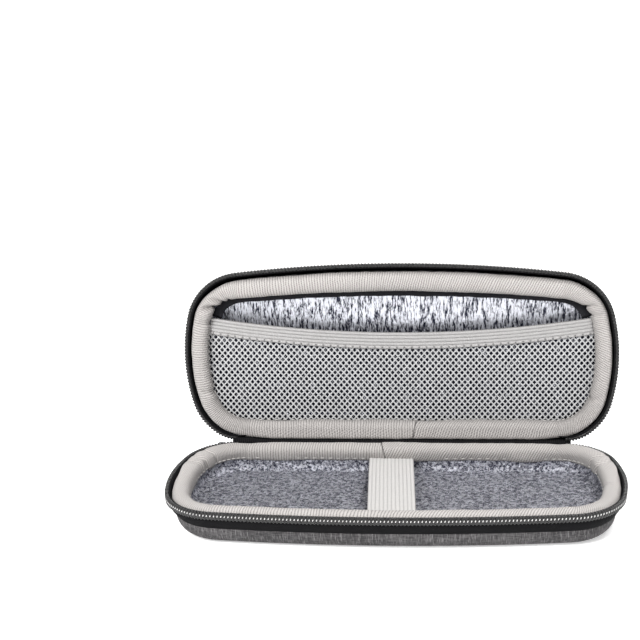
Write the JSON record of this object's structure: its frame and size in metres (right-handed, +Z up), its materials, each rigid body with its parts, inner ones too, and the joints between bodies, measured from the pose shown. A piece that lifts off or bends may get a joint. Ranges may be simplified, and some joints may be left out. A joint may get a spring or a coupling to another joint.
{
  "type": "zipped hard case for a razor",
  "caption": "Long padded hard case with a zip round three sides, shown open: silver lining, mesh pocket in the lid, elastic strap across the base, fabric spine and wrist strap.",
  "frame": {"origin": "on the table under the middle of the base, on its flat underside", "axes": "+X along the case, +Y from the front edge towards the spine, +Z up from the table"},
  "size_m": [0.1896, 0.1123, 0.0963],
  "materials": {
    "shell_fabric": "matte",
    "moulded_foam": "matte",
    "silver_lining": "satin",
    "rim_padding": "matte",
    "knit_binding": "matte",
    "zip_tape": "matte",
    "zip_coil": "satin",
    "white_elastic": "matte",
    "grey_elastic": "matte",
    "pocket_mesh": "matte",
    "slider_metal": "satin",
    "ring_wire": "satin",
    "strap_webbing": "matte"
  },
  "bodies": {
    "base": {"base_skin": "shell_fabric", "base_foam": "moulded_foam", "base_lining": "silver_lining", "base_rim_pad": "rim_padding", "base_binding": "knit_binding", "base_zip_tape": "zip_tape", "base_zip_coil": "zip_coil", "elastic_strap": "white_elastic", "spine_cover": "shell_fabric", "hinge_tape": "zip_tape"},
    "lid": {"lid_skin": "shell_fabric", "lid_foam": "moulded_foam", "lid_lining": "silver_lining", "lid_rim_pad": "rim_padding", "lid_binding": "knit_binding", "lid_zip_tape": "zip_tape", "lid_zip_coil": "zip_coil", "pocket_net": "pocket_mesh", "pocket_band": "grey_elastic"},
    "slider": {"zip_slider": "slider_metal", "wrist_strap": "strap_webbing"},
    "puller": {"puller_ring": "ring_wire"}
  },
  "joints": [
    {"name": "lid_hinge", "type": "hinge", "parent": "base", "child": "lid", "pos_m": [0, 0.0391, 0.0165], "axis": [-1, 0, 0], "range_deg": [-92, 30], "deforming": ["spine_cover", "hinge_tape"]},
    {"name": "zip_run", "type": "hinge", "parent": "base", "child": "slider", "pos_m": [-0.06783, 0.0155, 0.0123], "axis": [0, 0, 1], "range_deg": [0, 70]},
    {"name": "puller_swing", "type": "hinge", "parent": "slider", "child": "puller", "pos_m": [-0.06783, 0.04295, 0.0113], "axis": [0, 0, -1], "range_deg": [0, 90], "deforming": ["wrist_strap"]}
  ]
}
